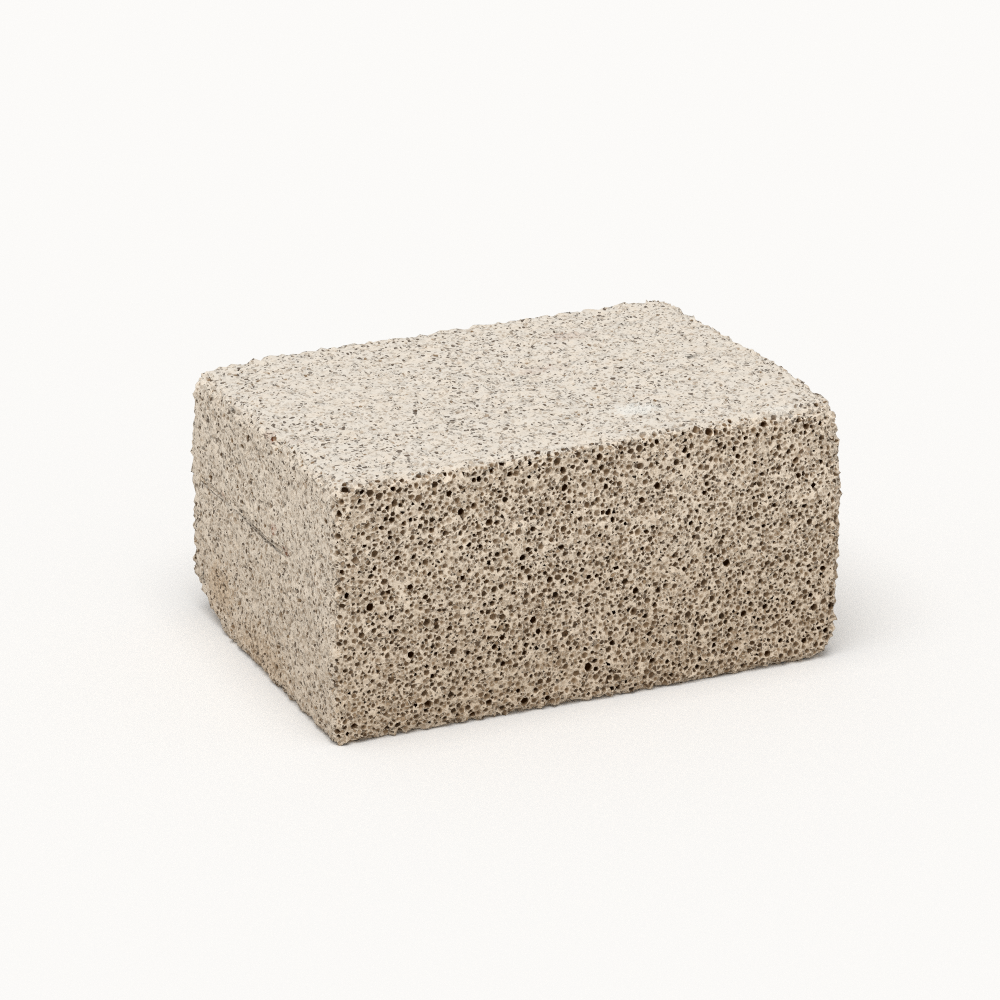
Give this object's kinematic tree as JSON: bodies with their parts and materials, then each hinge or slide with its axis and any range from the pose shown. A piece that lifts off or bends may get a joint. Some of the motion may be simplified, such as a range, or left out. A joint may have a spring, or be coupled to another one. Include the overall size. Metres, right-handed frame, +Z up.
{
  "type": "pumice stone",
  "caption": "Hand-sized pumice rubbing block, sawn to a slightly uneven cuboid with worn edges, broken lower corners and open pores on every side.",
  "frame": {"origin": "on the surface that the block stands on, under the middle of its box", "axes": "+X along the long side, +Y from the long front face to the back one, +Z up through the shortest side"},
  "size_m": [0.101, 0.0732, 0.0501],
  "materials": {
    "pumice": "matte"
  },
  "bodies": {
    "root": {"pumice_stone": "pumice"}
  },
  "joints": []
}
